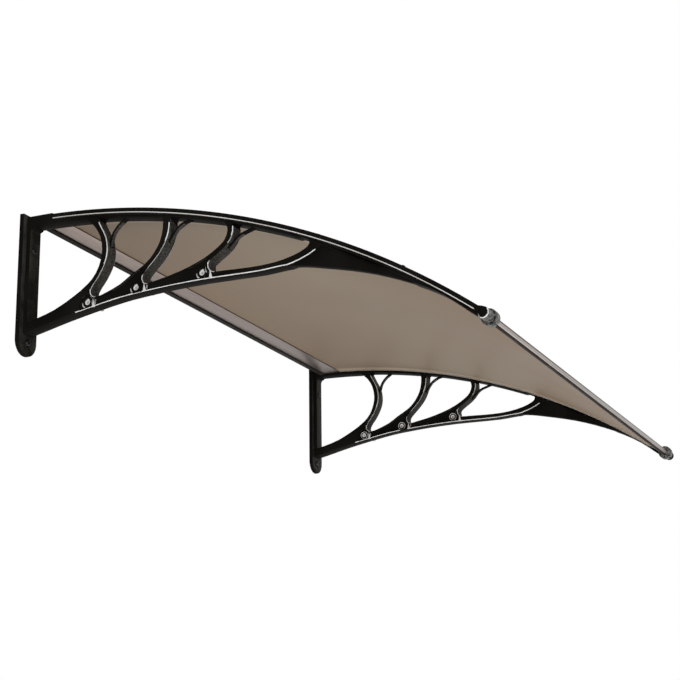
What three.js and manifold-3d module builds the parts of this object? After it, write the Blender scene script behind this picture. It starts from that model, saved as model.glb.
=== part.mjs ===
// A door canopy: two moulded side brackets carry a curved polycarbonate sheet, held by an aluminium
// profile along the wall and another along the front edge.
//
// Millimetres, +Z up. X runs along the wall, the wall is the plane Y = 0 and the front is -Y.
// The origin is on the wall at the middle of the rear profile's flange.
// Sections are drawn in a side plane: x is the depth out from the wall (-Y) and y is the height (Z).

import * as THREE from 'three';
import { mergeVertices } from 'three/addons/utils/BufferGeometryUtils.js';
import Module from 'manifold-3d';

const wasm = await Module();
wasm.setup();

const canopyWidth = 1200;
const fitGap = 0.3;

// Seen from the side the roof is an arc. Its radius is that of the sheet's underside.
const roofRadius = 1335.7;
const roofCentre = new THREE.Vector2(19.3, -1349.4);
const sheetThickness = 3;
const stripThickness = 5.9;

const bracketWidth = 29;
const noseWeb = 14;
const footWeb = 23;
const headTop = -3;
const headDepth = 58;
const plateWidth = 54;
const plateHeight = 250;
const plateThickness = 8;
const uprightThickness = 6;
const bossRadius = 10;
const bossBore = 4.6;
const bossSetback = 0.6;
const footRise = 37;
const armWidth = 10;
const armThickness = 3.4;

const frontDepth = 831;
const frontRise = 4.3;
const eyeRadius = 9.3;
const eyeBore = 3.4;
const neckRearRise = 4.5;
const neckFrontRise = 8;
const neckRun = 6;
const noseSetback = 28;
const capRadius = 6.8;
const capThickness = 3.5;
const capStem = 37;
const collarRadius = 13.3;
const collarLength = 15;
const collarGroove = 2.4;
const collarGrooveFloor = 9;
const spigotRadius = 2.3;
const spigotLength = 14;
const spigotRise = 1.6;
const frontHalfThickness = 6;
const frontProfileReach = 22;
const frontSlotGap = 0.5;
const frontGasketTop = -2.2;
const frontGasketLip = 0.9;
const frontGasketReach = 12;
const sheetFrontRim = 5.6;

const rearFlangeTop = 8;
const rearFlangeThickness = 2.5;
const rearTop = -2;
const rearWall = 2;
const rearWebDepth = 20;
const rearProfileDepth = 74;
const sealRearDepth = 24;
const sealFrontDepth = 36.3;
const sealThickness = 2.6;
const rearGasketWidth = 6;

const openingCorner = 6;
const openingTurn = 2;

const wallScrewRadius = 3;
const wallScrewHead = 5.5;
const wallScrewHeadHeight = 3;
const upperScrewDrop = 63;
const lowerScrewRise = 23;

const drawnScrewDepths = [140, 284, 403, 556, 700];
const stripScrewRadius = 1.5;
const stripScrewHead = 3.6;
const stripScrewHeadHeight = 2;
const stripScrewReach = 9;

// Curves of the bracket's moulding: depths out from the wall and drops below the sheet's underside.
const openings = [
  {
    chord: 8.4,
    loop: [
      [126, 7.5], [144, 21.5], [156, 40.3], [160.5, 62.8], [158, 83.1], [149.5, 104.9], [133, 124.5],
      [107, 143.4], [70, 163.8], [37, 174.7], [14, 180.3],
    ],
    close: [[14, 18.3], [16.3, 12.6], [22, 10.3]],
  },
  {
    chord: 6.4,
    loop: [
      [150, 7.4], [158, 23.1], [168, 41], [171.5, 60.6], [170.5, 75.7], [166, 90.2], [156, 109.8],
      [146, 123.8], [141, 132.7], [140.5, 139.3], [144.5, 144.9], [151.5, 146.2], [166, 141.7],
      [197, 125.9], [218, 109.4], [245, 89.6], [261.5, 70.2], [273, 48], [277.5, 26.1],
      [277, 8.2], [268, 5.9],
    ],
    close: [],
  },
  {
    chord: 5,
    loop: [
      [291, 7.4], [290, 24.6], [287, 39.2], [279, 58.3], [268.5, 74.8], [257, 89], [245, 103.1],
      [241, 109.8], [240.5, 116.9], [244, 122.3], [251, 123.1], [265, 118], [294, 106.7],
      [327, 90.4], [358, 70.6], [382, 49.6], [394, 34.7], [399, 19.2], [396.5, 8.9], [388, 4.4],
    ],
    close: [],
  },
  {
    chord: 4.4,
    loop: [
      [409, 3.2], [409.5, 18], [404, 33.7], [395, 46.4], [384, 58], [371, 70.2], [365, 77.8],
      [364.5, 84.9], [368, 91], [376, 92.3], [392, 88.2], [445, 73.1], [484, 57.4],
      [517, 38.1], [537, 21.9], [545.5, 11.3], [544.5, 4.2], [536, 2.8], [527, 2.5],
    ],
    close: [],
  },
];
const arms = [
  [[170, 55.8], [172.3, 43.5], [175.5, 33.1], [181, 24], [189, 15], [200, 5.5]],
  [[285, 46.6], [289.5, 38.7], [295, 29], [302, 19.5], [312, 11.3], [325, 4.3]],
  [[396, 46.6], [404.5, 36.1], [411, 27.1], [419, 19.1], [430, 11.6], [445, 2.1]],
];
const lowerEdge = [
  [8, 199.3], [43, 191.1], [86, 179.6], [139, 165.4], [192, 150.6], [223, 142.7], [260, 133.4],
  [298, 123.6], [351, 109.5], [404, 95], [456, 78.4], [485, 66], [509, 55.8],
  [533, 48.6], [560, 42.5], [612, 30.1], [653, 20.9], [694, 12.9], [736, 6.2],
  [773, 3.3], [803, 5.7],
];
const bossCentres = [[134.5, 155.8], [228, 131.4], [352.5, 97.6]];

// Pockets on both faces between the strut feet and the lower rim, parted by short ribs.
const footPockets = [
  [
    [118, 169.2], [130, 165.9], [143.5, 162.2], [144.5, 150.6], [139.5, 144.1], [130, 143.3],
    [122, 149.3], [118.5, 159.6],
  ],
  [
    [149, 160.6], [165, 155.9], [192, 148.1], [223, 140.1], [241, 135.9], [242.5, 127],
    [237, 121.9], [235.6, 114.7], [237.5, 107.4], [243, 98.9], [236, 99.1], [219.5, 111.7],
    [198.5, 128.4], [183, 136.7], [166, 144.7], [150, 150.4],
  ],
  [
    [248.5, 133.9], [298, 121.4], [340, 110], [366.5, 102.8], [367.5, 97.1], [361, 94.4],
    [359.5, 87.2], [361.3, 78.8], [368, 69.5], [360, 72], [342, 84.2], [328, 92.9],
    [294, 109.5], [262, 122.1], [250, 125.7],
  ],
];
const nosePocket = [
  [490, 68.6], [502, 59.6], [517, 50.4], [531, 40.4], [545, 29], [557, 17.3],
  [567, 6.8], [612, 5.9], [653, 5.9], [694, 6.4], [720, 6.8], [720, 37.8], [490, 100.6],
];

const sheetTop = roofRadius + sheetThickness;
const stripBottom = sheetTop + fitGap;
const stripTop = stripBottom + stripThickness;
const chordTop = roofRadius - fitGap;
const frontRadius = roofRadius + frontRise;
const frontAngle = roofAngle(frontDepth, frontRadius);
const frontAxis = roofPoint(frontRadius, frontAngle);
const sheetRear = headDepth + fitGap;
const sheetFrontReach = collarRadius + 2 * fitGap;
const sheetFrontAngle = frontAngle + sheetFrontReach / frontRadius;
const uprightFront = plateThickness + uprightThickness;
const bracketInner = canopyWidth / 2 - bracketWidth;
const bracketMiddle = canopyWidth / 2 - bracketWidth / 2;
const collarInner = bracketInner - fitGap - collarLength;

// The drawn curves are stretched out to the nose and down to the foot of the bracket's real size.
const [drawnUpright] = openings[0].close[0];
const [footDepth, drawnFootDrop] = lowerEdge[0];
const [drawnNose] = lowerEdge.at(-1);
const noseDepth = frontDepth - noseSetback;
const depthStretch = (noseDepth - uprightFront) / (drawnNose - drawnUpright);
const dropStretch = (plateHeight - footRise + sheetHeight(footDepth, roofRadius)) / drawnFootDrop;
const stripScrewDepths = drawnScrewDepths.map(stretchedDepth);

const blackPlastic = { color: 0x141210, roughness: 0.3, metalness: 0 };
const greyPlastic = { color: 0x4a4b48, roughness: 0.6, metalness: 0 };
const bronzeSheet = { color: 0x8d7f70, roughness: 0.35, metalness: 0 };
const satinAluminium = { color: 0xb9b4b2, roughness: 0.35, metalness: 0.9 };
const blackRubber = { color: 0x1b1816, roughness: 0.8, metalness: 0 };
const zincSteel = { color: 0x8f9092, roughness: 0.4, metalness: 0.9 };

const group = new THREE.Group();

function toVectors(points) {
  return points.map(([x, y]) => new THREE.Vector2(x, y));
}

function smooth(points, perPoint = 2) {
  return new THREE.SplineCurve(points).getPoints(perPoint * (points.length - 1));
}

function stretchedDepth(depth) {
  return uprightFront + (depth - drawnUpright) * depthStretch;
}

function fitted(points) {
  return points.map(([drawnDepth, drop]) => {
    const depth = stretchedDepth(drawnDepth);
    return new THREE.Vector2(depth, sheetHeight(depth, roofRadius) - drop * dropStretch);
  });
}

function roofAngle(depth, radius) {
  return Math.acos((depth - roofCentre.x) / radius);
}

function roofPoint(radius, angle) {
  return new THREE.Vector2(Math.cos(angle), Math.sin(angle)).multiplyScalar(radius).add(roofCentre);
}

function roofArc(radius, start, end, steps) {
  return Array.from({ length: steps + 1 }, (_, i) => roofPoint(radius, start + (end - start) * i / steps));
}

function roofBand(inner, outer, rearDepth, frontEnd, steps = 48) {
  const above = roofArc(outer, roofAngle(rearDepth, outer), frontEnd, steps);
  const below = roofArc(inner, roofAngle(rearDepth, inner), frontEnd, steps).reverse();
  return new THREE.Shape([...above, ...below]);
}

// A point beside the front axis: along the roof's tangent, forwards, and out along its normal.
function frontPoint(along, out) {
  const tangent = new THREE.Vector2(Math.sin(frontAngle), -Math.cos(frontAngle));
  const normal = new THREE.Vector2(Math.cos(frontAngle), Math.sin(frontAngle));
  return frontAxis.clone().addScaledVector(tangent, along).addScaledVector(normal, out);
}

function circle(centre, radius) {
  return new THREE.Shape().absarc(centre.x, centre.y, radius, 0, Math.PI * 2, false);
}

// Extrudes a section of the side plane along X, from x0 to x1.
function alongX(shape, x0, x1, curveSegments = 20) {
  const options = { depth: x1 - x0, bevelEnabled: false, curveSegments };
  return new THREE.ExtrudeGeometry(shape, options)
    .rotateX(Math.PI / 2)
    .rotateZ(-Math.PI / 2)
    .translate(x1, 0, 0);
}

// Turns a profile about an axis that points into the wall. Its heights run from the seat at the
// given depth, positive out from the wall.
function turnedOnWall(profile, x, depth, height, segments = 28) {
  return new THREE.LatheGeometry(toVectors(profile), segments)
    .rotateX(Math.PI)
    .translate(x, -depth, height);
}

// Turns a profile about the roof's normal at a depth, with its heights from the strip's top.
function turnedOnRoof(profile, x, depth, segments = 20) {
  const angle = roofAngle(depth, stripTop);
  const seat = roofPoint(stripTop, angle);
  return new THREE.LatheGeometry(toVectors(profile), segments)
    .rotateX(Math.PI - angle)
    .translate(x, -seat.x, seat.y);
}

function toSolid(geometry) {
  const bare = geometry.clone();
  bare.deleteAttribute('normal');
  bare.deleteAttribute('uv');
  const merged = mergeVertices(bare, 1e-4);
  return new wasm.Manifold(new wasm.Mesh({
    numProp: 3,
    vertProperties: new Float32Array(merged.attributes.position.array),
    triVerts: new Uint32Array(merged.index.array),
  }));
}

function toGeometry(solid) {
  const mesh = solid.getMesh();
  const geometry = new THREE.BufferGeometry();
  geometry.setAttribute('position', new THREE.BufferAttribute(new Float32Array(mesh.vertProperties), 3));
  geometry.setIndex(new THREE.BufferAttribute(new Uint32Array(mesh.triVerts), 1));
  geometry.computeVertexNormals();
  return geometry;
}

function solidAlongX(shape, x0, x1, curveSegments) {
  return toSolid(alongX(shape, Math.min(x0, x1), Math.max(x0, x1), curveSegments));
}

function add(name, geometry, look) {
  const mesh = new THREE.Mesh(geometry, new THREE.MeshStandardMaterial(look));
  mesh.name = name;
  group.add(mesh);
  return mesh;
}

function openingShape({ chord, loop, close }) {
  const curve = smooth(fitted(loop));
  const corner = fitted(close);
  const radius = roofRadius - chord;
  const [rearRun, frontRun] = close.length ? [0, -openingCorner] : [-openingCorner, openingTurn];
  const rear = roofAngle([...curve, ...corner].at(-1).x + rearRun, radius);
  const front = roofAngle(curve[0].x + frontRun, radius);
  return new THREE.Shape([...curve, ...corner, ...roofArc(radius, rear, front, 8)]);
}

function bracketOutline() {
  const rim = smooth(fitted(lowerEdge)).reverse();
  const roof = roofArc(chordTop, roofAngle(headDepth, chordTop), sheetFrontAngle, 60);
  const neck = [
    frontPoint(fitGap - sheetFrontReach, neckRearRise), frontPoint(-neckRun, neckFrontRise),
    frontPoint(0, neckFrontRise), frontPoint(0, fitGap - eyeRadius),
  ];
  const head = toVectors([[1, rim.at(-1).y], [1, headTop], [headDepth, headTop]]);
  return new THREE.Shape([...head, ...roof, ...neck, ...rim]);
}

function plateGeometry() {
  const half = plateWidth / 2;
  const shape = new THREE.Shape();
  shape.moveTo(half, 0);
  shape.lineTo(-half, 0);
  shape.lineTo(-half, half - plateHeight);
  shape.absarc(0, half - plateHeight, half, Math.PI, Math.PI * 2, false);
  shape.closePath();
  const options = { depth: plateThickness, bevelEnabled: false, curveSegments: 24 };
  return new THREE.ExtrudeGeometry(shape, options).rotateX(Math.PI / 2);
}

function armShape(points) {
  const line = smooth(fitted(points), 3);
  const outer = [];
  const inner = [];
  line.forEach((point, i) => {
    const run = line[Math.min(i + 1, line.length - 1)].clone().sub(line[Math.max(i - 1, 0)]).normalize();
    const normal = new THREE.Vector2(-run.y, run.x);
    outer.push(point.clone().addScaledVector(normal, armThickness / 2));
    inner.unshift(point.clone().addScaledVector(normal, -armThickness / 2));
  });
  return new THREE.Shape([...outer, ...inner]);
}

function cutBothFaces(body, points, from) {
  const shape = new THREE.Shape(fitted(points));
  const past = bracketWidth / 2 + 1;
  return body.subtract(solidAlongX(shape, from, past)).subtract(solidAlongX(shape, -from, -past));
}

function wallScrewSeats() {
  return [
    { name: 'upper', depth: uprightFront, height: -upperScrewDrop },
    { name: 'lower', depth: plateThickness, height: lowerScrewRise - plateHeight },
  ];
}

// One moulding, drawn about its own middle plane. The side is -1 at the left and 1 at the right.
function bracketGeometry(side) {
  const half = bracketWidth / 2;
  const past = half + 1;
  let body = solidAlongX(bracketOutline(), -half, half);
  for (const opening of openings) body = body.subtract(solidAlongX(openingShape(opening), -past, past));
  for (const pocket of footPockets) body = cutBothFaces(body, pocket, footWeb / 2);
  body = cutBothFaces(body, nosePocket, noseWeb / 2);
  body = body.add(toSolid(plateGeometry()));
  for (const arm of arms) body = body.add(solidAlongX(armShape(arm), -armWidth / 2, armWidth / 2));
  const bossFace = half - bossSetback;
  for (const centre of fitted(bossCentres)) {
    body = body.add(solidAlongX(circle(centre, bossRadius), -bossFace, bossFace, 16));
    body = body.subtract(solidAlongX(circle(centre, bossBore), -past, past, 12));
  }
  body = body.add(solidAlongX(circle(frontAxis, eyeRadius), -half, half, 20));
  body = body.subtract(solidAlongX(circle(frontAxis, eyeBore), -past, past, 12));
  const capSeat = circle(frontAxis, capRadius + fitGap);
  body = body.subtract(solidAlongX(capSeat, side * (half - capThickness), side * past, 20));
  for (const { depth, height } of wallScrewSeats()) {
    const bore = wallScrewRadius + fitGap;
    body = body.subtract(toSolid(turnedOnWall([[0, -depth - 1], [bore, -depth - 1], [bore, 1], [0, 1]], 0, depth, height)));
  }
  for (const depth of stripScrewDepths) body = body.subtract(stripScrewBore(0, depth));
  return toGeometry(body);
}

function stripScrewBore(x, depth) {
  const bore = stripScrewRadius + fitGap;
  const reach = stripTop - roofRadius + stripScrewReach + fitGap;
  return toSolid(turnedOnRoof([[0, -reach], [bore, -reach], [bore, 5], [0, 5]], x, depth));
}

function stripScrewGeometry(x, depth) {
  const reach = stripTop - roofRadius + stripScrewReach;
  const seat = 2 * fitGap;
  const profile = [
    [0, -reach], [stripScrewRadius, -reach], [stripScrewRadius, seat], [stripScrewHead, seat],
    [stripScrewHead, seat + stripScrewHeadHeight / 2], [stripScrewHead / 2, seat + stripScrewHeadHeight],
    [0, seat + stripScrewHeadHeight],
  ];
  return turnedOnRoof(profile, x, depth);
}

function stripGeometry() {
  const half = bracketWidth / 2;
  let strip = solidAlongX(roofBand(stripBottom, stripTop, sheetRear, sheetFrontAngle), -half, half);
  for (const depth of stripScrewDepths) strip = strip.subtract(stripScrewBore(0, depth));
  return toGeometry(strip);
}

function sheetGeometry() {
  const half = canopyWidth / 2;
  const rimAngle = frontAngle + sheetFrontRim / frontRadius;
  const rimHalf = collarInner - fitGap;
  const frontBand = [
    ...roofArc(sheetTop, sheetFrontAngle + 0.01, rimAngle, 4),
    ...roofArc(roofRadius, sheetFrontAngle + 0.01, rimAngle, 4).reverse(),
  ];
  let sheet = solidAlongX(roofBand(roofRadius, sheetTop, sheetRear, sheetFrontAngle), -half, half);
  sheet = sheet.add(solidAlongX(new THREE.Shape(frontBand), -rimHalf, rimHalf));
  for (const x of [-bracketMiddle, bracketMiddle]) {
    for (const depth of stripScrewDepths) sheet = sheet.subtract(stripScrewBore(x, depth));
  }
  return toGeometry(sheet);
}

function wallScrewGeometry(x, depth, height) {
  const seat = fitGap;
  const top = seat + wallScrewHeadHeight;
  const profile = [
    [0, fitGap - depth], [wallScrewRadius, fitGap - depth], [wallScrewRadius, seat],
    [wallScrewHead, seat], [wallScrewHead * 0.9, top - 1], [wallScrewHead * 0.6, top], [0, top],
  ];
  return turnedOnWall(profile, x, depth, height);
}

function capGeometry(side) {
  const face = canopyWidth / 2;
  const seat = face - capThickness + fitGap;
  const disc = solidAlongX(circle(frontAxis, capRadius), side * seat, side * face, 20);
  const stem = solidAlongX(circle(frontAxis, eyeBore - fitGap), side * (seat + 1), side * (face - capStem), 12);
  return toGeometry(disc.add(stem));
}

function collarGeometry(side) {
  const outer = bracketInner - fitGap;
  const boltEnd = canopyWidth / 2 - capStem - fitGap;
  let collar = solidAlongX(circle(frontAxis, collarRadius), side * collarInner, side * outer, 24);
  const spigot = circle(frontPoint(0, spigotRise), spigotRadius);
  collar = collar.add(solidAlongX(spigot, side * (collarInner - spigotLength), side * (collarInner + 1), 12));
  collar = collar.subtract(solidAlongX(circle(frontAxis, eyeBore), side * boltEnd, side * (outer + 1), 12));
  const low = frontGasketTop - collarGroove;
  const past = collarRadius + 1;
  const groove = [
    [collarGrooveFloor, low], [past, low], [past, frontGasketTop], [collarGrooveFloor, frontGasketTop],
  ];
  const grooveShape = new THREE.Shape(groove.map(([along, out]) => frontPoint(along, out)));
  collar = collar.subtract(solidAlongX(grooveShape, side * (collarInner - 1), side * (outer + 1)));
  return toGeometry(collar);
}

// The nose of the front bar in front of its axis, between two heights beside it.
function noseArc(fromOut, toOut, steps = 10) {
  const start = Math.asin(fromOut / frontHalfThickness);
  const end = Math.asin(toOut / frontHalfThickness);
  return Array.from({ length: steps + 1 }, (_, i) => {
    const angle = start + (end - start) * i / steps;
    return frontPoint(frontHalfThickness * Math.cos(angle), frontHalfThickness * Math.sin(angle));
  });
}

function frontProfileGeometry() {
  const slotTop = sheetThickness - frontRise + frontSlotGap;
  const slotEnd = frontSlotGap - sheetFrontRim;
  const shape = new THREE.Shape([
    frontPoint(-frontProfileReach, slotTop), frontPoint(-frontProfileReach, frontHalfThickness),
    ...noseArc(frontHalfThickness, frontGasketTop), frontPoint(slotEnd, frontGasketTop),
    frontPoint(slotEnd, slotTop),
  ]);
  const end = collarInner - fitGap;
  const port = circle(frontPoint(0, spigotRise), spigotRadius + fitGap);
  return toGeometry(solidAlongX(shape, -end, end).subtract(solidAlongX(port, -end - 1, end + 1, 12)));
}

function frontGasketGeometry() {
  const top = frontGasketTop - fitGap;
  const lipTop = -frontRise - 2 * fitGap;
  const bottom = lipTop - frontGasketLip;
  const inner = 2 * fitGap - sheetFrontRim;
  const shape = new THREE.Shape([
    frontPoint(inner, top), ...noseArc(top, bottom, 6), frontPoint(-frontGasketReach, bottom),
    frontPoint(-frontGasketReach, lipTop), frontPoint(inner, lipTop),
  ]);
  const end = collarInner - fitGap;
  return toGeometry(solidAlongX(shape, -end, end));
}

function sheetHeight(depth, radius) {
  return roofPoint(radius, roofAngle(depth, radius)).y;
}

function rearProfileGeometry() {
  const lipTop = sheetHeight(rearProfileDepth, roofRadius) - fitGap;
  const lipBottom = lipTop - rearWall;
  const topUnder = rearTop - rearWall;
  const shape = new THREE.Shape(toVectors([
    [0, topUnder], [rearWebDepth, topUnder], [rearWebDepth, lipBottom], [rearProfileDepth, lipBottom],
    [rearProfileDepth, lipTop], [rearWebDepth + rearWall, lipTop], [rearWebDepth + rearWall, topUnder],
    [rearProfileDepth, topUnder], [rearProfileDepth, rearTop], [rearFlangeThickness, rearTop],
    [rearFlangeThickness, rearFlangeTop], [0, rearFlangeTop],
  ]));
  const end = bracketInner - fitGap;
  const notchEnd = bracketMiddle - plateWidth / 2 - fitGap;
  const notchDepth = plateThickness + fitGap;
  const [notchBottom, notchTop] = [topUnder - 1, rearFlangeTop + 1];
  const notch = new THREE.Shape(toVectors([
    [-1, notchBottom], [notchDepth, notchBottom], [notchDepth, notchTop], [-1, notchTop],
  ]));
  return toGeometry(
    solidAlongX(shape, -end, end)
      .subtract(solidAlongX(notch, notchEnd, end + 1))
      .subtract(solidAlongX(notch, -notchEnd, -end - 1)),
  );
}

function rearSealGeometry() {
  const top = sheetHeight(rearProfileDepth, roofRadius) - 2 * fitGap - rearWall;
  const shape = new THREE.Shape(toVectors([
    [sealRearDepth, top], [sealFrontDepth, top], [sealFrontDepth - 1, top - sealThickness],
    [sealRearDepth, top - sealThickness],
  ]));
  const end = bracketInner - fitGap;
  return alongX(shape, -end, end);
}

function rearGasketGeometry() {
  const front = rearProfileDepth - 1;
  const rear = front - rearGasketWidth;
  const top = rearTop - rearWall - fitGap;
  const shape = new THREE.Shape(toVectors([
    [rear, sheetHeight(rear, sheetTop) + fitGap], [front, sheetHeight(rear, sheetTop) + fitGap],
    [front, top], [rear, top],
  ]));
  const end = bracketInner - fitGap;
  return alongX(shape, -end, end);
}

function buildSide(name, side) {
  const middle = side * bracketMiddle;
  add(`${name}_bracket`, bracketGeometry(side), blackPlastic).position.x = middle;
  add(`${name}_cover_strip`, stripGeometry(), blackPlastic).position.x = middle;
  add(`${name}_front_collar`, collarGeometry(side), greyPlastic);
  add(`${name}_front_cap`, capGeometry(side), blackPlastic);
  for (const seat of wallScrewSeats()) {
    add(`${name}_${seat.name}_wall_screw`, wallScrewGeometry(middle, seat.depth, seat.height), zincSteel);
  }
  stripScrewDepths.forEach((depth, i) => {
    add(`${name}_strip_screw_${i + 1}`, stripScrewGeometry(middle, depth), zincSteel);
  });
}

add('canopy_sheet', sheetGeometry(), bronzeSheet);
add('front_profile', frontProfileGeometry(), satinAluminium);
add('front_gasket', frontGasketGeometry(), blackRubber);
add('rear_profile', rearProfileGeometry(), satinAluminium);
add('rear_gasket', rearGasketGeometry(), blackRubber);
add('rear_seal', rearSealGeometry(), blackRubber);
buildSide('left', -1);
buildSide('right', 1);

export default group;
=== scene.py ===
import math

import bpy
from mathutils import Euler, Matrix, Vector


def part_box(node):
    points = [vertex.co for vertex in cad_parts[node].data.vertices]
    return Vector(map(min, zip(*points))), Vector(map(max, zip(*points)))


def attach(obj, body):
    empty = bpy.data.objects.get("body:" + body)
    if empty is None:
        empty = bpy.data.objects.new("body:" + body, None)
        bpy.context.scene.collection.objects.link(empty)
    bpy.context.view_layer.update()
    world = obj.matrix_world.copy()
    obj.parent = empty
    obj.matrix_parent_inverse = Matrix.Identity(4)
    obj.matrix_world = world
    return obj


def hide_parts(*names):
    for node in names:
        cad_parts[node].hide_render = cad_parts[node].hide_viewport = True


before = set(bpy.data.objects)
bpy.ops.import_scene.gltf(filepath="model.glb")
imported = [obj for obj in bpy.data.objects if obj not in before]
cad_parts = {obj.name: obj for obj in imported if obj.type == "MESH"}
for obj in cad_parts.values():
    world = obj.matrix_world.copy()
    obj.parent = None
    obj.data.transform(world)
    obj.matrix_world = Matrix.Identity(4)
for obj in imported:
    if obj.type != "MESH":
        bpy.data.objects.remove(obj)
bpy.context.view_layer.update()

bpy.ops.object.select_all(action="DESELECT")
print("canopy frame loaded:", len(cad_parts), "nodes")


# small helpers for selecting and editing

edit = {
    "exact": 0.000002,  # corners closer than this are one corner
    "flat": 0.6,  # edges that turn by fewer degrees are dissolved
    "facing": 0.9,  # a face looks along an axis when its normal reaches this far along it
}


def selectOnly(*pieces):
    bpy.ops.object.select_all(action="DESELECT")
    for piece in pieces:
        piece.select_set(True)
    bpy.context.view_layer.objects.active = pieces[0]


def ownCopy(model, name):
    piece = model.copy()
    piece.data = piece.data.copy()
    piece.name = piece.data.name = name
    bpy.context.collection.objects.link(piece)
    return piece


def copyOfNode(node, name, tidy=edit["exact"], dissolved=True):
    # a merged copy of a CAD node, ready for rounding and detail
    piece = ownCopy(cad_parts[node], name)
    piece.parent = None
    piece.matrix_world.identity()
    selectOnly(piece)
    if piece.data.has_custom_normals:
        bpy.ops.mesh.customdata_custom_splitnormals_clear()
    for distance in (edit["exact"], tidy):
        bpy.ops.object.mode_set(mode="EDIT")
        bpy.ops.mesh.select_all(action="SELECT")
        bpy.ops.mesh.remove_doubles(threshold=distance)
        if dissolved:
            bpy.ops.mesh.dissolve_limited(angle_limit=math.radians(edit["flat"]))
        bpy.ops.mesh.normals_make_consistent(inside=False)
        bpy.ops.object.mode_set(mode="OBJECT")
    return piece


def deselectFaces():
    # an operator in edit mode then acts only on the faces that the script selects
    bpy.ops.object.mode_set(mode="EDIT")
    bpy.ops.mesh.select_mode(type="FACE")
    bpy.ops.mesh.select_all(action="DESELECT")
    bpy.ops.object.mode_set(mode="OBJECT")


def roundEdges(piece, width, segments=2, clamped=True, fromAngle=30):
    # the rounded faces take the piece's second material where it has one
    bevel = piece.modifiers.new("rounding", "BEVEL")
    bevel.width = width
    bevel.segments = segments
    bevel.limit_method = "ANGLE"
    bevel.angle_limit = math.radians(fromAngle)
    bevel.use_clamp_overlap = clamped
    bevel.miter_outer = "MITER_ARC"
    bevel.material = 1 if len(piece.data.materials) > 1 else -1
    selectOnly(piece)
    bpy.ops.object.modifier_apply(modifier=bevel.name)


def smoothShade(piece, angle=32):
    selectOnly(piece)
    bpy.ops.object.shade_smooth_by_angle(angle=math.radians(angle))


def dress(piece, *materials):
    piece.data.materials.clear()
    for material in materials:
        piece.data.materials.append(material)


def keepFor(piece, node):
    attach(piece, "root")
    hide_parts(node)


# shared effects, each built once and given its own values in a material

def newGroup(name, inputs, outputs):
    group = bpy.data.node_groups.new(name, "ShaderNodeTree")
    for label, kind, value in inputs:
        socket = group.interface.new_socket(label, in_out="INPUT", socket_type=kind)
        socket.default_value = value
    for label, kind in outputs:
        group.interface.new_socket(label, in_out="OUTPUT", socket_type=kind)
    return group, group.nodes.new("NodeGroupInput"), group.nodes.new("NodeGroupOutput")


def mouldedSkinGroup():
    # fine moulded grain over a slow waviness, as a height and a mask
    group, source, result = newGroup(
        "mouldedSkin",
        [("Vector", "NodeSocketVector", (0, 0, 0)), ("Grain Scale", "NodeSocketFloat", 900.0),
         ("Wave Scale", "NodeSocketFloat", 9.0), ("Wave Share", "NodeSocketFloat", 0.5)],
        [("Height", "NodeSocketFloat"), ("Mask", "NodeSocketFloat")])
    nodes, links = group.nodes, group.links
    grain = nodes.new("ShaderNodeTexNoise")
    grain.inputs["Detail"].default_value = 2
    wave = nodes.new("ShaderNodeTexNoise")
    wave.inputs["Detail"].default_value = 1
    mix = nodes.new("ShaderNodeMix")
    spread = nodes.new("ShaderNodeMapRange")
    spread.inputs["From Min"].default_value = 0.36
    spread.inputs["From Max"].default_value = 0.64
    links.new(wave.outputs["Fac"], spread.inputs["Value"])
    links.new(source.outputs["Vector"], grain.inputs["Vector"])
    links.new(source.outputs["Vector"], wave.inputs["Vector"])
    links.new(source.outputs["Grain Scale"], grain.inputs["Scale"])
    links.new(source.outputs["Wave Scale"], wave.inputs["Scale"])
    links.new(source.outputs["Wave Share"], mix.inputs["Factor"])
    links.new(grain.outputs["Fac"], mix.inputs["A"])
    links.new(wave.outputs["Fac"], mix.inputs["B"])
    links.new(mix.outputs["Result"], result.inputs["Height"])
    links.new(spread.outputs["Result"], result.inputs["Mask"])
    return group


def drawnLinesGroup():
    # fine lines drawn along X, as extrusion or brushing leaves them
    group, source, result = newGroup(
        "drawnLines",
        [("Vector", "NodeSocketVector", (0, 0, 0)), ("Line Scale", "NodeSocketFloat", 1500.0),
         ("Stretch", "NodeSocketFloat", 0.004)],
        [("Height", "NodeSocketFloat"), ("Mask", "NodeSocketFloat")])
    nodes, links = group.nodes, group.links
    squeeze = nodes.new("ShaderNodeCombineXYZ")
    squeeze.inputs["Y"].default_value = 1
    squeeze.inputs["Z"].default_value = 1
    stretched = nodes.new("ShaderNodeVectorMath")
    stretched.operation = "MULTIPLY"
    lines = nodes.new("ShaderNodeTexNoise")
    lines.inputs["Detail"].default_value = 3
    band = nodes.new("ShaderNodeMapRange")
    band.inputs["From Min"].default_value = 0.35
    band.inputs["From Max"].default_value = 0.65
    links.new(source.outputs["Stretch"], squeeze.inputs["X"])
    links.new(source.outputs["Vector"], stretched.inputs[0])
    links.new(squeeze.outputs["Vector"], stretched.inputs[1])
    links.new(stretched.outputs["Vector"], lines.inputs["Vector"])
    links.new(source.outputs["Line Scale"], lines.inputs["Scale"])
    links.new(lines.outputs["Fac"], band.inputs["Value"])
    links.new(lines.outputs["Fac"], result.inputs["Height"])
    links.new(band.outputs["Result"], result.inputs["Mask"])
    return group


mouldedSkin = mouldedSkinGroup()
drawnLines = drawnLinesGroup()
print("shared effects built")


# materials

def startMaterial(name, look):
    material = bpy.data.materials.new(name)
    material.use_nodes = True
    shader = material.node_tree.nodes["Principled BSDF"]
    for socket, value in look.items():
        shader.inputs[socket].default_value = value
    return material, material.node_tree.nodes, material.node_tree.links, shader


def addEffect(nodes, links, group, values):
    effect = nodes.new("ShaderNodeGroup")
    effect.node_tree = group
    place = nodes.new("ShaderNodeTexCoord")
    links.new(place.outputs["Object"], effect.inputs["Vector"])
    for socket, value in values.items():
        effect.inputs[socket].default_value = value
    return effect


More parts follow.
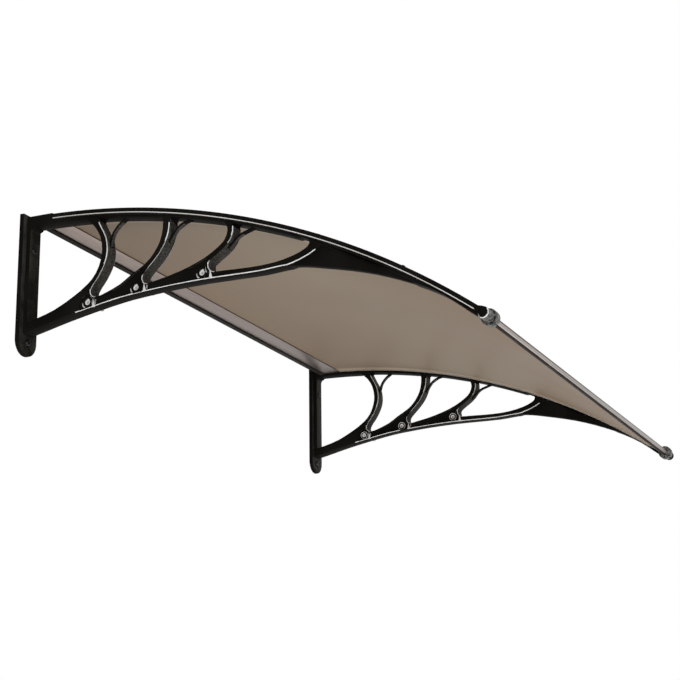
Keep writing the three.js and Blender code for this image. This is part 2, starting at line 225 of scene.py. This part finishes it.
def colourBy(nodes, links, mask, first, second, target):
    blend = nodes.new("ShaderNodeMix")
    blend.data_type = "RGBA"
    blend.inputs["A"].default_value = (*first, 1)
    blend.inputs["B"].default_value = (*second, 1)
    links.new(mask, blend.inputs["Factor"])
    links.new(blend.outputs["Result"], target)


def rangeBy(nodes, links, mask, low, high, target):
    spread = nodes.new("ShaderNodeMapRange")
    spread.inputs["To Min"].default_value = low
    spread.inputs["To Max"].default_value = high
    links.new(mask, spread.inputs["Value"])
    links.new(spread.outputs["Result"], target)


def bumpBy(nodes, links, height, strength, distance, shader):
    bump = nodes.new("ShaderNodeBump")
    bump.inputs["Strength"].default_value = strength
    bump.inputs["Distance"].default_value = distance
    links.new(height, bump.inputs["Height"])
    links.new(bump.outputs["Normal"], shader.inputs["Normal"])


def paintedLightAlong(material, axis, tint, full, none):
    # painted light or shade: the colour is multiplied by the tint where the distance along the axis is at
    # full
    nodes, links = material.node_tree.nodes, material.node_tree.links
    target = nodes["Principled BSDF"].inputs["Base Color"]
    colour = target.links[0].from_socket
    place = nodes.new("ShaderNodeTexCoord")
    parts = nodes.new("ShaderNodeSeparateXYZ")
    reach = nodes.new("ShaderNodeMath")
    reach.operation = "ABSOLUTE"
    share = nodes.new("ShaderNodeMapRange")
    share.inputs["From Min"].default_value = none
    share.inputs["From Max"].default_value = full
    share.interpolation_type = "SMOOTHSTEP"
    blend = nodes.new("ShaderNodeMix")
    blend.data_type = "RGBA"
    blend.blend_type = "MULTIPLY"
    blend.inputs["B"].default_value = (*tint, 1)
    links.new(place.outputs["Object"], parts.inputs["Vector"])
    links.new(parts.outputs[axis], reach.inputs[0])
    links.new(reach.outputs["Value"], share.inputs["Value"])
    links.new(share.outputs["Result"], blend.inputs["Factor"])
    links.new(colour, blend.inputs["A"])
    links.new(blend.outputs["Result"], target)


def mouldedMaterial(name, finish):
    material, nodes, links, shader = startMaterial(name, finish["shader"])
    skin = addEffect(nodes, links, mouldedSkin, finish["skin"])
    colourBy(nodes, links, skin.outputs["Mask"], *finish["colours"], shader.inputs["Base Color"])
    rangeBy(nodes, links, skin.outputs["Mask"], *finish["roughness"], shader.inputs["Roughness"])
    bumpBy(nodes, links, skin.outputs["Height"], finish["bump"], finish["bumpDepth"], shader)
    return material


def drawnMaterial(name, finish):
    material, nodes, links, shader = startMaterial(name, finish["shader"])
    lines = addEffect(nodes, links, drawnLines, finish["lines"])
    colourBy(nodes, links, lines.outputs["Mask"], *finish["colours"], shader.inputs["Base Color"])
    rangeBy(nodes, links, lines.outputs["Mask"], *finish["roughness"], shader.inputs["Roughness"])
    bumpBy(nodes, links, lines.outputs["Height"], finish["bump"], finish["bumpDepth"], shader)
    return material


blackPlastic = mouldedMaterial("blackPlastic", {
    "shader": {"Specular IOR Level": 0.002},
    "skin": {"Grain Scale": 1400, "Wave Scale": 14, "Wave Share": 0.35},
    "colours": ((0.0084, 0.0078, 0.0065), (0.0128, 0.0118, 0.0102)),
    "roughness": (0.3, 0.45),
    "bump": 0.12, "bumpDepth": 0.0002,
})
# painted sheen: a lighter black for the wall plate's front faces
sheenPaintedPlastic = mouldedMaterial("sheenPaintedPlastic", {
    "shader": {"Specular IOR Level": 0.03},
    "skin": {"Grain Scale": 1400, "Wave Scale": 34, "Wave Share": 0.4},
    "colours": ((0.012, 0.0116, 0.0098), (0.036, 0.035, 0.031)),
    "roughness": (0.4, 0.5),
    "bump": 0.12, "bumpDepth": 0.0002,
})
# painted light: a lighter black with a fine grain, for the struts' sides that face the front
grainAndPaintedLightPlastic = mouldedMaterial("grainAndPaintedLightPlastic", {
    "shader": {"Specular IOR Level": 0.05},
    "skin": {"Grain Scale": 650, "Wave Scale": 330, "Wave Share": 0.5},
    "colours": ((0.030, 0.028, 0.024), (0.100, 0.093, 0.084)),
    "roughness": (0.5, 0.7),
    "bump": 0.5, "bumpDepth": 0.0004,
})
# painted highlight: near white for the edges, facets and rings that show bright lines
paintedHighlightEdge = mouldedMaterial("paintedHighlightEdge", {
    "shader": {"Specular IOR Level": 0.5},
    "skin": {"Grain Scale": 700, "Wave Scale": 60, "Wave Share": 0.5},
    "colours": ((0.74, 0.74, 0.73), (0.93, 0.93, 0.92)),
    "roughness": (0.25, 0.35),
    "bump": 0.1, "bumpDepth": 0.0002,
})
greyPlastic = mouldedMaterial("greyPlastic", {
    "shader": {"Specular IOR Level": 0.2},
    "skin": {"Grain Scale": 700, "Wave Scale": 210, "Wave Share": 0.55},
    "colours": ((0.005, 0.005, 0.004), (0.172, 0.172, 0.160)),
    "roughness": (0.4, 0.6),
    "bump": 0.6, "bumpDepth": 0.0006,
})
blackRubber = mouldedMaterial("blackRubber", {
    "shader": {"Specular IOR Level": 0.05},
    "skin": {"Grain Scale": 1100, "Wave Scale": 30, "Wave Share": 0.3},
    "colours": ((0.009, 0.007, 0.006), (0.016, 0.013, 0.011)),
    "roughness": (0.55, 0.75),
    "bump": 0.3, "bumpDepth": 0.0003,
})
bronzeSheet = mouldedMaterial("bronzeSheet", {
    "shader": {"Specular IOR Level": 0.08},
    "skin": {"Grain Scale": 160, "Wave Scale": 2.4, "Wave Share": 0.9},
    "colours": ((0.212, 0.163, 0.116), (0.246, 0.196, 0.143)),
    "roughness": (0.5, 0.6),
    "bump": 0.03, "bumpDepth": 0.0003,
})
# painted shade: darker and warmer towards the wall and towards the front edge, and a painted highlight for
# the lighter band beside each bracket
paintedLightAlong(bronzeSheet, "Y", (0.87, 0.82, 0.79), 0.06, 0.42)
paintedLightAlong(bronzeSheet, "Y", (0.87, 0.80, 0.73), 0.80, 0.42)
paintedLightAlong(bronzeSheet, "X", (1.9, 1.95, 2.05), 0.560, 0.541)
# painted highlight: a pale colour for the sheet's cut side edges
sheetEdgeHighlight = mouldedMaterial("sheetEdgeHighlight", {
    "shader": {"Specular IOR Level": 0.5},
    "skin": {"Grain Scale": 500, "Wave Scale": 12, "Wave Share": 0.5},
    "colours": ((0.72, 0.70, 0.67), (0.92, 0.91, 0.89)),
    "roughness": (0.2, 0.3),
    "bump": 0.1, "bumpDepth": 0.0002,
})
satinAluminium = drawnMaterial("satinAluminium", {
    "shader": {"Metallic": 1.0},
    "lines": {"Line Scale": 1300, "Stretch": 0.003},
    "colours": ((0.28, 0.248, 0.230), (0.40, 0.358, 0.336)),
    "roughness": (0.34, 0.46),
    "bump": 0.1, "bumpDepth": 0.0002,
})
railAluminium = drawnMaterial("railAluminium", {
    "shader": {"Metallic": 1.0},
    "lines": {"Line Scale": 1100, "Stretch": 0.02},
    "colours": ((0.150, 0.120, 0.106), (0.235, 0.190, 0.170)),
    "roughness": (0.36, 0.48),
    "bump": 0.15, "bumpDepth": 0.0003,
})
shadedAluminium = drawnMaterial("shadedAluminium", {
    "shader": {"Metallic": 1.0},
    "lines": {"Line Scale": 1300, "Stretch": 0.003},
    "colours": ((0.040, 0.036, 0.034), (0.085, 0.078, 0.074)),
    "roughness": (0.34, 0.46),
    "bump": 0.1, "bumpDepth": 0.0002,
})
zincSteel = drawnMaterial("zincSteel", {
    "shader": {"Metallic": 1.0},
    "lines": {"Line Scale": 2600, "Stretch": 0.6},
    "colours": ((0.020, 0.020, 0.021), (0.050, 0.050, 0.052)),
    "roughness": (0.32, 0.44),
    "bump": 0.15, "bumpDepth": 0.0001,
})
print("materials made")

# the canopy's pieces

roof = {"radius": 1.3357, "depth": 0.0193, "height": -1.3494}


def dropBelowRoof(point):
    reach = -point.y - roof["depth"]
    return roof["height"] + math.sqrt(roof["radius"] ** 2 - reach ** 2) - point.z


plainPieces = {
    "front_profile": {"name": "front_bar", "material": satinAluminium, "round": 0.0005, "segments": 2,
                      "shade": (0.02, 0.97)},
    "front_gasket": {"name": "front_bar_gasket", "material": blackRubber, "round": 0.0002, "segments": 1},
    "rear_profile": {"name": "wall_rail", "material": railAluminium, "round": 0.0004, "segments": 2},
    "rear_gasket": {"name": "wall_rail_gasket", "material": blackRubber, "round": 0.0004, "segments": 2},
    "rear_seal": {"name": "wall_rail_seal", "material": blackRubber, "round": 0.0005, "segments": 2},
}
for side in ("left", "right"):
    plainPieces[f"{side}_cover_strip"] = {
        "name": f"{side}_roof_strip", "material": blackPlastic, "round": 0.0012, "segments": 3}
    plainPieces[f"{side}_front_collar"] = {
        "name": f"{side}_bar_collar", "material": greyPlastic, "round": 0.0007, "segments": 3}
    plainPieces[f"{side}_front_cap"] = {
        "name": f"{side}_bar_cap", "material": blackPlastic, "round": 0.0006, "segments": 3}


def makePlainPiece(node, look):
    piece = copyOfNode(node, look["name"])
    dress(piece, look["material"])
    roundEdges(piece, look["round"], look["segments"])
    if "shade" in look:
        # the band of faces that turn up over the nose is shaded
        dress(piece, look["material"], shadedAluminium)
        low, high = look["shade"]
        for face in piece.data.polygons:
            face.material_index = 1 if low < face.normal.z < high and face.normal.y < 0 else 0
    smoothShade(piece)
    keepFor(piece, node)
    print("rounded", look["name"], len(piece.data.polygons), "faces")


for node, look in plainPieces.items():
    makePlainPiece(node, look)

sheet = {"sideFrom": 0.597, "border": 0.0008}


def makeSheet():
    # the cut side edges carry a painted highlight, a thin bright line, between narrow borders of painted
    # shade
    piece = copyOfNode("canopy_sheet", "arched_sheet")
    dress(piece, bronzeSheet, sheetEdgeHighlight, blackRubber)
    deselectFaces()
    for face in piece.data.polygons:
        face.select = abs(face.center.x) > sheet["sideFrom"] and abs(face.normal.x) > edit["facing"]
        face.material_index = 2 if face.select else 0
    bpy.ops.object.mode_set(mode="EDIT")
    bpy.ops.mesh.inset(thickness=sheet["border"])
    bpy.ops.object.mode_set(mode="OBJECT")
    for face in piece.data.polygons:
        if face.select:
            face.material_index = 1
    smoothShade(piece)
    keepFor(piece, "canopy_sheet")


makeSheet()
print("sheet made")

# a point on the bracket is its depth from the wall and its height, and the rim runs from the foot to the nose
bracket = {
    "middle": 0.5855, "half": 0.0145, "sideReach": 0.0146, "inset": 0.985,
    "round": 0.0013, "segments": 2, "tidy": 0.0004, "stray": 0.0009,
    "rim": ((0.086, -0.195), (0.139, -0.1845), (0.192, -0.1755), (0.260, -0.169), (0.351, -0.165),
            (0.456, -0.1655), (0.485, -0.1635), (0.509, -0.1625)),
    "axis": (0.831, -0.2832), "eyeReach": 0.0102,
    "bosses": ((0.1345, -0.1745), (0.2280, -0.1615), (0.3525, -0.1535)), "bossReach": 0.0112,
    "plateTo": 0.016,
}
# which edges carry a painted highlight as a bright line, by their place and by how their faces are turned,
# and which strut sides are painted lighter as if lit from the front
paintedLightRules = {
    "across": (0.2, 0.97),  # how far the face of an edge with a painted highlight leans to the side
    "least": 0.22, "lampOut": 0.85, "lampUp": 0.5, "bossTurn": -0.6,
    "upward": 0.3, "rimDown": -0.25, "noseDown": -0.2, "front": 0.35,
    "from": 0.123, "openingDrop": 0.012, "armReach": 0.0065,
    "roofBand": 0.004, "roofFrom": 0.075, "rimBand": 0.0025, "rimStrip": 0.006,
    "noseFrom": 0.48, "noseTo": 0.558, "faceBand": 0.0016,
    "eyeOut": 0.45, "eyeUp": -0.9, "eyeFrom": -0.0008,
}
finishes = {"plain": 0, "paintedHighlight": 1, "grainAndPaintedLight": 2, "grey": 3, "paintedSheen": 4}  # the order they are dressed in


def rimHeight(depth):
    # the lower rim's height at a depth, between its nearest two points
    rim = bracket["rim"]
    for (rear, rearHeight), (front, frontHeight) in zip(rim, rim[1:]):
        if rear <= depth <= front:
            return rearHeight + (frontHeight - rearHeight) * (depth - rear) / (front - rear)
    return -1


def outAndUp(place, point):
    # how far in front of a point of the bracket a place is, and how far above it
    return -place.y - point[0], place.z - point[1]


def nearPoint(place, point, reach):
    return math.hypot(*outAndUp(place, point)) < reach


def lightOnRound(place, normal):
    # the eye and the bosses show a painted highlight crescent, and None says that the place is on neither
    if nearPoint(place, bracket["axis"], bracket["eyeReach"]):
        out, up = outAndUp(place, bracket["axis"])
        return paintedLightRules["eyeOut"] * out + paintedLightRules["eyeUp"] * up > paintedLightRules["eyeFrom"]
    for boss in bracket["bosses"]:
        if nearPoint(place, boss, bracket["bossReach"]):
            turned = paintedLightRules["bossTurn"] * (normal.z - normal.y)
            return turned > paintedLightRules["least"] and normal.x * place.x > 0
    return None


def lightOnLength(place, normal):
    # long edges that show a painted highlight line: the struts' fronts, the openings' floors, the lower rim
    # and the nose
    out, up, depth = -normal.y, normal.z, -place.y
    drop = dropBelowRoof(place)
    offMiddle = abs(abs(place.x) - bracket["middle"])
    if up > paintedLightRules["upward"] and drop < paintedLightRules["roofBand"] and depth > paintedLightRules["roofFrom"]:
        return normal.x * place.x < 0
    if depth < paintedLightRules["from"] or drop < paintedLightRules["openingDrop"] or offMiddle < paintedLightRules["armReach"]:
        return False
    aboveRim = place.z - rimHeight(depth)
    if paintedLightRules["lampOut"] * out + paintedLightRules["lampUp"] * up > paintedLightRules["least"]:
        return depth < paintedLightRules["noseFrom"] and not (up > paintedLightRules["upward"] and aboveRim < paintedLightRules["rimStrip"])
    if up < paintedLightRules["rimDown"] and abs(aboveRim) < paintedLightRules["rimBand"] and depth < paintedLightRules["noseFrom"]:
        return True
    onFace = offMiddle > bracket["half"] - paintedLightRules["faceBand"]
    return onFace and up < paintedLightRules["noseDown"] and paintedLightRules["noseFrom"] < depth < paintedLightRules["noseTo"]


def getsPaintedHighlight(place, normal):
    onRound = lightOnRound(place, normal)
    return lightOnLength(place, normal) if onRound is None else onRound


def facesFront(place, normal):
    # painted light: the struts' sides that look out to the front are painted lighter, with a fine grain
    return (-normal.y > paintedLightRules["front"] and paintedLightRules["from"] < -place.y < paintedLightRules["noseFrom"]
            and dropBelowRoof(place) > paintedLightRules["openingDrop"])


def markFaces(piece, barrel):
    # each face takes its finish: painted highlight on chosen rounded edges, painted light on the struts'
    # front sides, painted sheen on the wall plate's fronts; the rounded ones come in with the painted
    # highlight
    low, high = paintedLightRules["across"]
    for face in piece.data.polygons:
        across = abs(face.normal.x)
        if face.material_index == finishes["paintedHighlight"]:
            lit = low < across < high and getsPaintedHighlight(face.center, face.normal)
            face.material_index = finishes["paintedHighlight" if lit else "plain"]
        elif across < low and nearPoint(face.center, bracket["axis"], bracket["eyeReach"]):
            face.material_index = finishes[barrel]
        elif across < low and facesFront(face.center, face.normal):
            face.material_index = finishes["grainAndPaintedLight"]
        # the wall plate's front faces take the painted sheen
        elif -face.normal.y > edit["facing"] and -face.center.y < bracket["plateTo"]:
            face.material_index = finishes["paintedSheen"]


def drawBackStrays(piece, shape):
    # a corner that the rounding threw off the moulding goes back onto it
    for corner in piece.data.vertices:
        found, place, normal, index = shape.closest_point_on_mesh(corner.co)
        if (place - corner.co).length > bracket["stray"]:
            corner.co = place


def narrow(piece, middle):
    # the moulding's sides draw in a little, which leaves room for the facets on them
    for corner in piece.data.vertices:
        if abs(corner.co.x - middle) < bracket["sideReach"]:
            corner.co.x = middle + (corner.co.x - middle) * bracket["inset"]


# a rib is its depth from the wall and the heights of its bottom and top
ribHighlightFacet = {
    "ribs": ((0.1445, -0.1845, -0.1690), (0.2425, -0.1700, -0.1555), (0.3665, -0.1645, -0.1500)),
    "width": 0.0062, "tip": 0.0018, "half": 0.00018,
}


def makeHighlightFacet():
    # a thin tapered facet, one high, which the copies stretch to their ribs; its faces point outwards and
    # carry the painted highlight
    bpy.ops.mesh.primitive_cylinder_add(vertices=3, radius=1, depth=1)
    facet = bpy.context.object
    outline = ((0, 0), (ribHighlightFacet["width"], 0), (ribHighlightFacet["tip"], 1))
    for corner in facet.data.vertices:
        out, up = outline[corner.index // 2]
        corner.co = (ribHighlightFacet["half"] if corner.index % 2 else -ribHighlightFacet["half"], -out, up)
    dress(facet, paintedHighlightEdge)
    return facet


# a ring's finish is what lies inside it: 0 painted highlight, 1 aluminium, 2 black
bushes = {
    "bossFace": 0.0139, "sides": 24,
    "outer": {"radius": 0.0045, "sink": 0.0012, "depth": 0.0040,
              "rings": ({"width": 0.0020, "dish": 0.0011, "finish": 1},)},
    "inner": {"radius": 0.0084, "sink": -0.0003, "depth": 0.0014,
              "rings": ({"width": 0.0017, "dish": 0.0009, "finish": 2},
                        {"width": 0.0021, "dish": -0.0009, "finish": 0},
                        {"width": 0.0020, "dish": 0.0006, "finish": 1})},
}


def makeBush(look):
    # a turned disc along Z, its top inset ring by ring and dished; its sides and its rings of finish 0 carry
    # the painted highlight
    bpy.ops.mesh.primitive_cylinder_add(
        vertices=bushes["sides"], radius=look["radius"], depth=look["depth"])
    bush = bpy.context.object
    dress(bush, paintedHighlightEdge, satinAluminium, blackPlastic)
    deselectFaces()
    for top in bush.data.polygons:
        top.select = top.normal.z > edit["facing"]
    for ring in look["rings"]:
        bpy.ops.object.mode_set(mode="EDIT")
        bpy.ops.mesh.inset(thickness=ring["width"])
        bpy.ops.transform.translate(value=(0, 0, -ring["dish"]))
        bpy.ops.object.mode_set(mode="OBJECT")
        for top in bush.data.polygons:
            if top.select:
                top.material_index = ring["finish"]
    return bush


def addHighlightFacets(side):
    # facets of painted highlight where a short rib parts the pockets beside each boss
    facets = []
    for depth, bottom, top in ribHighlightFacet["ribs"]:
        for face in (-1, 1):
            facet = ownCopy(models["facet"], "facet")
            sideways = side * bracket["middle"] + face * bracket["half"] * bracket["inset"]
            facet.location = (sideways, -depth, bottom)
            facet.scale = (1, 1, top - bottom)
            facets.append(facet)
    return facets


def addBushes(side):
    # small bushes in the bosses' bores on the outer side, and dished washers on the inner side, with rings of
    # painted highlight
    added = []
    for depth, height in bracket["bosses"]:
        for face, kind in ((side, "outer"), (-side, "inner")):
            look = bushes[kind]
            bush = ownCopy(models[kind], f"{kind}_bush")
            offMiddle = bushes["bossFace"] - look["sink"] - look["depth"] / 2
            bush.location = (side * bracket["middle"] + face * offMiddle, -depth, height)
            bush.rotation_euler = (0, math.pi / 2 * face, 0)
            added.append(bush)
    return added


def makeBracket(name, side, barrel):
    node = f"{name}_bracket"
    piece = copyOfNode(node, f"{name}_moulded_bracket", bracket["tidy"], dissolved=False)
    dress(piece, blackPlastic, paintedHighlightEdge, grainAndPaintedLightPlastic, greyPlastic, sheenPaintedPlastic)
    roundEdges(piece, bracket["round"], bracket["segments"], clamped=False)
    drawBackStrays(piece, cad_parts[node])
    markFaces(piece, barrel)
    narrow(piece, side * bracket["middle"])
    extras = addHighlightFacets(side) + addBushes(side)
    for extra in extras:
        selectOnly(extra)
        bpy.ops.object.transform_apply(location=True, rotation=True, scale=True)
    selectOnly(piece, *extras)
    bpy.ops.object.join()
    smoothShade(piece)
    keepFor(piece, node)
    print("moulded", name, "bracket", len(piece.data.polygons), "faces")


models = {"facet": makeHighlightFacet(), "outer": makeBush(bushes["outer"]), "inner": makeBush(bushes["inner"])}
makeBracket("left", -1, "grey")  # the left eye's barrel is grey like its collar
makeBracket("right", 1, "plain")
for model in models.values():
    bpy.data.objects.remove(model)

# a slot's length, width and depth; the strip screws stand square to the roof's arc, at its radius
screws = {
    "wallSlot": (0.0062, 0.0012, 0.0030), "stripSlot": (0.0042, 0.0009, 0.0018),
    "headRadius": 1.3475, "shankRadius": 1.3449,
    "stripDepths": (0.140, 0.284, 0.403, 0.556, 0.700),
}


def cutCross(piece, place, lean, slot):
    # a cross recess, its two slots cut one after the other; the lean turns it about X
    length, width, depth = slot
    for size in ((length, width, depth), (width, length, depth)):
        bpy.ops.mesh.primitive_cube_add(size=1, location=place, rotation=(lean, 0, 0), scale=size)
        cutter = bpy.context.object
        cut = piece.modifiers.new("slot", "BOOLEAN")
        cut.object = cutter
        cut.solver = "EXACT"
        selectOnly(piece)
        bpy.ops.object.modifier_apply(modifier=cut.name)
        bpy.data.objects.remove(cutter)


def makeScrew(node):
    piece = copyOfNode(node, f"{node}_head")
    dress(piece, zincSteel)
    low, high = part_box(node)
    middle = (low[0] + high[0]) / 2
    if "wall" in node:
        cutCross(piece, (middle, low[1], (low[2] + high[2]) / 2), math.pi / 2, screws["wallSlot"])
    else:
        depth = screws["stripDepths"][int(node[-1]) - 1]
        lean = math.asin((depth - roof["depth"]) / screws["shankRadius"])
        out, up = screws["headRadius"] * math.sin(lean), screws["headRadius"] * math.cos(lean)
        cutCross(piece, (middle, -roof["depth"] - out, roof["height"] + up), lean, screws["stripSlot"])
    smoothShade(piece)
    keepFor(piece, node)


for node in [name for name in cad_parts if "screw" in name]:
    makeScrew(node)
print("screws made")

# floor, light and camera

stageLook = {
    "floorDrop": 2.15, "floorReach": 30.0, "floorColour": (0.80, 0.80, 0.80), "floorGlow": 0.72,
    "worldLight": 0.30,
}
lamps = {
    "frontLamp": {"place": (-0.3, -4.4, 0.8), "aim": (0, -0.4, -0.15), "size": 2.0, "power": 90},
    "sideLamp": {"place": (-4.6, -1.3, 0.1), "aim": (-0.5, -0.5, -0.15), "size": 2.2, "power": 52},
    "underLamp": {"place": (0.1, -0.5, -2.05), "aim": (0.1, -0.5, 0), "size": 3.2, "power": 36},
}
view = {
    "place": (-2.82328, -1.58866, -0.97893),
    "turn": (105.6311, 0.6173, -65.8106),
    "lens": 86.639, "sensor": 36, "clip": (0.05, 60),
}


def addShownRays(nodes, links):
    # 1 for camera, glossy and transmission rays, which see the white room, and 0 for the rest
    rays = nodes.new("ShaderNodeLightPath")
    gloss = nodes.new("ShaderNodeMath")
    gloss.operation = "MAXIMUM"
    seen = nodes.new("ShaderNodeMath")
    seen.operation = "MAXIMUM"
    links.new(rays.outputs["Is Glossy Ray"], gloss.inputs[0])
    links.new(rays.outputs["Is Transmission Ray"], gloss.inputs[1])
    links.new(gloss.outputs["Value"], seen.inputs[0])
    links.new(rays.outputs["Is Camera Ray"], seen.inputs[1])
    return seen.outputs["Value"]


def makeFloor():
    bpy.ops.mesh.primitive_plane_add(size=stageLook["floorReach"], location=(0, 0, -stageLook["floorDrop"]))
    floor = bpy.context.object
    floor.name = "paleFloor"
    material, nodes, links, shader = startMaterial("paleFloor", {
        "Base Color": (*stageLook["floorColour"], 1), "Roughness": 0.9, "Specular IOR Level": 0.0})
    # it shows nearly white to the camera and in reflections, and still takes the shadow
    shader.inputs["Emission Color"].default_value = (1, 1, 1, 1)
    shown = addShownRays(nodes, links)
    glow = nodes.new("ShaderNodeMath")
    glow.operation = "MULTIPLY"
    glow.inputs[1].default_value = stageLook["floorGlow"]
    links.new(shown, glow.inputs[0])
    links.new(glow.outputs["Value"], shader.inputs["Emission Strength"])
    # seen from below the floor isn't there, so a view from under the canopy stays clear
    clear = nodes.new("ShaderNodeBsdfTransparent")
    sides = nodes.new("ShaderNodeNewGeometry")
    choose = nodes.new("ShaderNodeMixShader")
    result = nodes["Material Output"]
    links.new(sides.outputs["Backfacing"], choose.inputs["Fac"])
    links.new(shader.outputs["BSDF"], choose.inputs[1])
    links.new(clear.outputs["BSDF"], choose.inputs[2])
    links.new(choose.outputs["Shader"], result.inputs["Surface"])
    floor.data.materials.append(material)


def makeWorld():
    world = bpy.data.worlds.new("whiteStudio")
    bpy.context.scene.world = world
    world.use_nodes = True
    nodes, links = world.node_tree.nodes, world.node_tree.links
    background = nodes["Background"]
    background.inputs["Color"].default_value = (1, 1, 1, 1)
    strength = nodes.new("ShaderNodeMapRange")
    strength.inputs["To Min"].default_value = stageLook["worldLight"]
    strength.inputs["To Max"].default_value = 1.0
    links.new(addShownRays(nodes, links), strength.inputs["Value"])
    links.new(strength.outputs["Result"], background.inputs["Strength"])


def makeLamp(name, lamp):
    bpy.ops.object.light_add(type="AREA", location=lamp["place"])
    light = bpy.context.object
    light.name = light.data.name = name
    light.data.shape = "SQUARE"
    light.data.size = lamp["size"]
    light.data.energy = lamp["power"]
    towards = Vector(lamp["aim"]) - Vector(lamp["place"])
    light.rotation_euler = towards.to_track_quat("-Z", "Y").to_euler()


def makeCamera():
    bpy.ops.object.camera_add(
        location=view["place"], rotation=Euler([math.radians(angle) for angle in view["turn"]]))
    camera = bpy.context.object
    camera.name = "photoCamera"
    camera.data.sensor_width = view["sensor"]
    camera.data.lens = view["lens"]
    camera.data.clip_start, camera.data.clip_end = view["clip"]
    bpy.context.scene.camera = camera


makeFloor()
makeWorld()
for name, lamp in lamps.items():
    makeLamp(name, lamp)
makeCamera()
bpy.context.scene.view_settings.view_transform = "Standard"
print("floor, lamps and camera placed")
